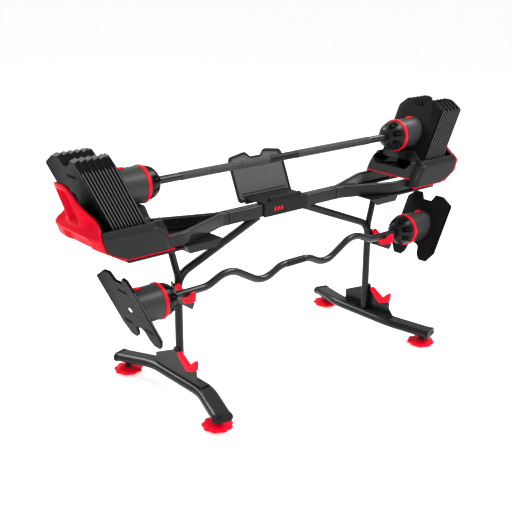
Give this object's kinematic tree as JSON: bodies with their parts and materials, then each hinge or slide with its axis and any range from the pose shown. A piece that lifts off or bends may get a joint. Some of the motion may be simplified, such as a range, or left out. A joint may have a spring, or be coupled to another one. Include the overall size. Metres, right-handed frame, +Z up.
{
  "type": "adjustable_barbell_station",
  "caption": "Stand with two trays and a media rack, holding a straight barbell and a wavy curl bar whose knobs pick how many leaning plates are lifted from the trays.",
  "frame": {"origin": "on the floor under the middle of the stand", "axes": "X along the bars with +X to the user's right, +Y to the rear where the media board leans, +Z up"},
  "size_m": [1.8604, 0.6634, 0.9432],
  "materials": {
    "frame": "satin black powder coat",
    "plastic_dark": "fine textured moulding",
    "tray_dark": "fine textured moulding",
    "tray_red": "smooth semi-gloss moulding",
    "hook_red": "smooth semi-gloss moulding",
    "foot_red": "smooth semi-gloss moulding",
    "tab_red": "smooth semi-gloss moulding",
    "fastener": "black oxide",
    "bar": "black coat with fine knurling",
    "barrel": "fine textured moulding",
    "knob": "fine textured moulding",
    "plate": "textured black moulding around a metal core",
    "bright_steel": "turned steel"
  },
  "bodies": {
    "stand": {"base_tube_left": "frame", "base_cap_left": "plastic_dark", "leg_left": "frame", "low_hook_plate_left": "frame", "middle_hook_plate_left": "frame", "low_hook_liner_left": "hook_red", "middle_hook_liner_left": "hook_red", "beam_arms_left": "frame", "tray_shell_left": "tray_red", "tray_liner_left": "tray_dark", "base_tube_right": "frame", "base_cap_right": "plastic_dark", "leg_right": "frame", "low_hook_plate_right": "frame", "middle_hook_plate_right": "frame", "low_hook_liner_right": "hook_red", "middle_hook_liner_right": "hook_red", "beam_arms_right": "frame", "tray_shell_right": "tray_red", "tray_liner_right": "tray_dark", "centre_beam": "frame", "bolts": "fastener", "media_panel": "plastic_dark", "media_shelf": "plastic_dark"},
    "barbell": {"barbell_shaft": "bar", "barbell_barrel_left": "barrel", "barbell_barrel_right": "barrel", "barbell_end_plate_left": "plate", "barbell_end_plate_right": "plate"},
    "curl_bar": {"curl_shaft": "bar", "curl_barrel_left": "barrel", "curl_barrel_right": "barrel", "curl_end_plate_left": "plate", "curl_end_plate_right": "plate"},
    "barbell_knob_left": {"barbell_knob_left": "knob"},
    "barbell_lock_rods_left": {"barbell_lock_rods_left": "bright_steel"},
    "barbell_lock_tab_left": {"barbell_lock_tab_left": "tab_red"},
    "barbell_knob_right": {"barbell_knob_right": "knob"},
    "barbell_lock_rods_right": {"barbell_lock_rods_right": "bright_steel"},
    "barbell_lock_tab_right": {"barbell_lock_tab_right": "tab_red"},
    "curl_knob_left": {"curl_knob_left": "knob"},
    "curl_lock_rods_left": {"curl_lock_rods_left": "bright_steel"},
    "curl_lock_tab_left": {"curl_lock_tab_left": "tab_red"},
    "curl_knob_right": {"curl_knob_right": "knob"},
    "curl_lock_rods_right": {"curl_lock_rods_right": "bright_steel"},
    "curl_lock_tab_right": {"curl_lock_tab_right": "tab_red"},
    "foot_left_front": {"foot_left_front": "foot_red"},
    "foot_left_rear": {"foot_left_rear": "foot_red"},
    "weight_plate_left_1": {"weight_plate_left_1": "plate"},
    "weight_plate_left_2": {"weight_plate_left_2": "plate"},
    "weight_plate_left_3": {"weight_plate_left_3": "plate"},
    "weight_plate_left_4": {"weight_plate_left_4": "plate"},
    "weight_plate_left_5": {"weight_plate_left_5": "plate"},
    "foot_right_front": {"foot_right_front": "foot_red"},
    "foot_right_rear": {"foot_right_rear": "foot_red"},
    "weight_plate_right_1": {"weight_plate_right_1": "plate"},
    "weight_plate_right_2": {"weight_plate_right_2": "plate"},
    "weight_plate_right_3": {"weight_plate_right_3": "plate"},
    "weight_plate_right_4": {"weight_plate_right_4": "plate"},
    "weight_plate_right_5": {"weight_plate_right_5": "plate"}
  },
  "joints": [
    {"name": "barbell_lift", "type": "slide", "parent": "stand", "child": "barbell", "axis": [0, 0, 1], "range_m": [0, 0.2]},
    {"name": "curl_bar_lift", "type": "slide", "parent": "stand", "child": "curl_bar", "axis": [0, -0.5, 0.866], "range_m": [0, 0.045]},
    {"name": "barbell_knob_turn_left", "type": "hinge", "parent": "barbell", "child": "barbell_knob_left", "pos_m": [-0.587, 0, 0.81197], "axis": [-1, 0, 0], "range_deg": [0, 300]},
    {"name": "barbell_rods_slide_left", "type": "slide", "parent": "barbell", "child": "barbell_lock_rods_left", "axis": [-1, 0, 0], "range_m": [0, 0.011]},
    {"name": "barbell_tab_press_left", "type": "slide", "parent": "barbell", "child": "barbell_lock_tab_left", "axis": [0, 0, -1], "range_m": [0, 0.003], "stiffness_N_per_m": 800},
    {"name": "barbell_knob_turn_right", "type": "hinge", "parent": "barbell", "child": "barbell_knob_right", "pos_m": [0.587, 0, 0.81197], "axis": [1, 0, 0], "range_deg": [0, 300]},
    {"name": "barbell_rods_slide_right", "type": "slide", "parent": "barbell", "child": "barbell_lock_rods_right", "axis": [1, 0, 0], "range_m": [0, 0.011]},
    {"name": "barbell_tab_press_right", "type": "slide", "parent": "barbell", "child": "barbell_lock_tab_right", "axis": [0, 0, -1], "range_m": [0, 0.003], "stiffness_N_per_m": 800},
    {"name": "curl_knob_turn_left", "type": "hinge", "parent": "curl_bar", "child": "curl_knob_left", "pos_m": [-0.587, -0.07725, 0.42472], "axis": [-1, 0, 0], "range_deg": [0, 300]},
    {"name": "curl_rods_slide_left", "type": "slide", "parent": "curl_bar", "child": "curl_lock_rods_left", "axis": [-1, 0, 0], "range_m": [0, 0.011]},
    {"name": "curl_tab_press_left", "type": "slide", "parent": "curl_bar", "child": "curl_lock_tab_left", "axis": [0, 0, -1], "range_m": [0, 0.003], "stiffness_N_per_m": 800},
    {"name": "curl_knob_turn_right", "type": "hinge", "parent": "curl_bar", "child": "curl_knob_right", "pos_m": [0.587, -0.07725, 0.42472], "axis": [1, 0, 0], "range_deg": [0, 300]},
    {"name": "curl_rods_slide_right", "type": "slide", "parent": "curl_bar", "child": "curl_lock_rods_right", "axis": [1, 0, 0], "range_m": [0, 0.011]},
    {"name": "curl_tab_press_right", "type": "slide", "parent": "curl_bar", "child": "curl_lock_tab_right", "axis": [0, 0, -1], "range_m": [0, 0.003], "stiffness_N_per_m": 800},
    {"name": "foot_turn_left_front", "type": "hinge", "parent": "stand", "child": "foot_left_front", "pos_m": [-0.529, -0.278, 0.012], "axis": [0, 0, 1], "range_deg": [-180, 180]},
    {"name": "foot_turn_left_rear", "type": "hinge", "parent": "stand", "child": "foot_left_rear", "pos_m": [-0.529, 0.278, 0.012], "axis": [0, 0, 1], "range_deg": [-180, 180]},
    {"name": "plate_lift_left_1", "type": "slide", "parent": "stand", "child": "weight_plate_left_1", "axis": [-0.3827, 0, 0.9239], "range_m": [0, 0.1]},
    {"name": "plate_lift_left_2", "type": "slide", "parent": "stand", "child": "weight_plate_left_2", "axis": [-0.3827, 0, 0.9239], "range_m": [0, 0.1]},
    {"name": "plate_lift_left_3", "type": "slide", "parent": "stand", "child": "weight_plate_left_3", "axis": [-0.3827, 0, 0.9239], "range_m": [0, 0.1]},
    {"name": "plate_lift_left_4", "type": "slide", "parent": "stand", "child": "weight_plate_left_4", "axis": [-0.3827, 0, 0.9239], "range_m": [0, 0.1]},
    {"name": "plate_lift_left_5", "type": "slide", "parent": "stand", "child": "weight_plate_left_5", "axis": [-0.3827, 0, 0.9239], "range_m": [0, 0.1]},
    {"name": "foot_turn_right_front", "type": "hinge", "parent": "stand", "child": "foot_right_front", "pos_m": [0.529, -0.278, 0.012], "axis": [0, 0, 1], "range_deg": [-180, 180]},
    {"name": "foot_turn_right_rear", "type": "hinge", "parent": "stand", "child": "foot_right_rear", "pos_m": [0.529, 0.278, 0.012], "axis": [0, 0, 1], "range_deg": [-180, 180]},
    {"name": "plate_lift_right_1", "type": "slide", "parent": "stand", "child": "weight_plate_right_1", "axis": [0.3827, 0, 0.9239], "range_m": [0, 0.1]},
    {"name": "plate_lift_right_2", "type": "slide", "parent": "stand", "child": "weight_plate_right_2", "axis": [0.3827, 0, 0.9239], "range_m": [0, 0.1]},
    {"name": "plate_lift_right_3", "type": "slide", "parent": "stand", "child": "weight_plate_right_3", "axis": [0.3827, 0, 0.9239], "range_m": [0, 0.1]},
    {"name": "plate_lift_right_4", "type": "slide", "parent": "stand", "child": "weight_plate_right_4", "axis": [0.3827, 0, 0.9239], "range_m": [0, 0.1]},
    {"name": "plate_lift_right_5", "type": "slide", "parent": "stand", "child": "weight_plate_right_5", "axis": [0.3827, 0, 0.9239], "range_m": [0, 0.1]}
  ],
  "couplings": [
    {"joint": "barbell_rods_slide_left", "follows": "barbell_knob_turn_left", "m_per_rad": 0.0021},
    {"joint": "barbell_rods_slide_right", "follows": "barbell_knob_turn_right", "m_per_rad": 0.0021},
    {"joint": "curl_rods_slide_left", "follows": "curl_knob_turn_left", "m_per_rad": 0.0021},
    {"joint": "curl_rods_slide_right", "follows": "curl_knob_turn_right", "m_per_rad": 0.0021}
  ]
}
